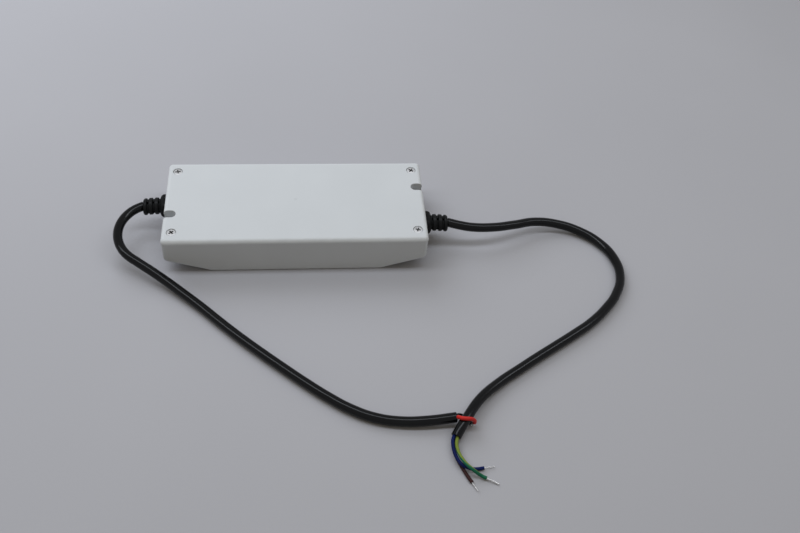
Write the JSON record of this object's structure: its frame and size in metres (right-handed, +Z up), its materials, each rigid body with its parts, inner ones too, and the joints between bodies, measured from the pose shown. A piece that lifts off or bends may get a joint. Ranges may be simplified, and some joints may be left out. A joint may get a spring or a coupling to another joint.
{
  "type": "led driver",
  "caption": "Sealed LED driver in a pale moulded case with a screwed cover, an open mounting slot at each end, and an input and an output cable in ribbed strain reliefs.",
  "frame": {"origin": "middle of the case's footprint, at its underside", "axes": "+X from the output end to the input end, +Y to the back, +Z up from the underside to the cover"},
  "size_m": [0.3632, 0.2628, 0.03],
  "materials": {
    "case_plastic": "satin moulded plastic",
    "screw_steel": "plated",
    "gland_rubber": "satin",
    "cable_sheath": "glossy soft plastic",
    "core_brown": "glossy soft plastic",
    "core_blue": "glossy soft plastic",
    "core_earth": "glossy soft plastic with a yellow stripe",
    "core_red": "glossy soft plastic",
    "core_black": "glossy soft plastic",
    "tinned_copper": "bright",
    "board_laminate": "lacquered",
    "copper_wire": "lacquered",
    "ferrite": "matte",
    "winding_tape": "satin",
    "heatsink_aluminium": "satin",
    "black_moulding": "matte",
    "fuse_ceramic": "matte",
    "blue_coating": "satin",
    "green_coating": "satin",
    "yellow_case": "satin",
    "red_case": "satin",
    "resistor_coating": "satin",
    "can_sleeve": "glossy"
  },
  "bodies": {
    "root": {"case_body": "case_plastic", "case_cover": "case_plastic", "cover_screws": "screw_steel", "input_gland": "gland_rubber", "output_gland": "gland_rubber", "input_cable": "cable_sheath", "output_cable": "cable_sheath", "core_brown": "core_brown", "core_blue": "core_blue", "core_earth": "core_earth", "core_red": "core_red", "core_black": "core_black", "input_strands": "tinned_copper", "output_strands": "tinned_copper", "circuit_board": "board_laminate", "board_screws": "screw_steel", "input_leads": "core_brown", "output_leads": "core_red", "fuse": "fuse_ceramic", "varistor": "blue_coating", "inrush_thermistor": "green_coating", "x_capacitor": "yellow_case", "choke_core": "ferrite", "choke_windings": "copper_wire", "y_capacitors": "blue_coating", "bridge_rectifier": "black_moulding", "film_capacitor": "red_case", "pfc_core": "ferrite", "pfc_bobbin": "black_moulding", "pfc_winding": "winding_tape", "bulk_capacitor": "can_sleeve", "primary_heatsink": "heatsink_aluminium", "switch_transistor": "black_moulding", "transformer_core": "ferrite", "transformer_bobbin": "black_moulding", "transformer_winding": "winding_tape", "secondary_heatsink": "heatsink_aluminium", "output_diode": "black_moulding", "clamp_screws": "screw_steel", "output_capacitors": "can_sleeve", "output_choke": "ferrite", "optocoupler": "black_moulding", "control_chips": "black_moulding", "sense_resistors": "resistor_coating"}
  },
  "joints": []
}
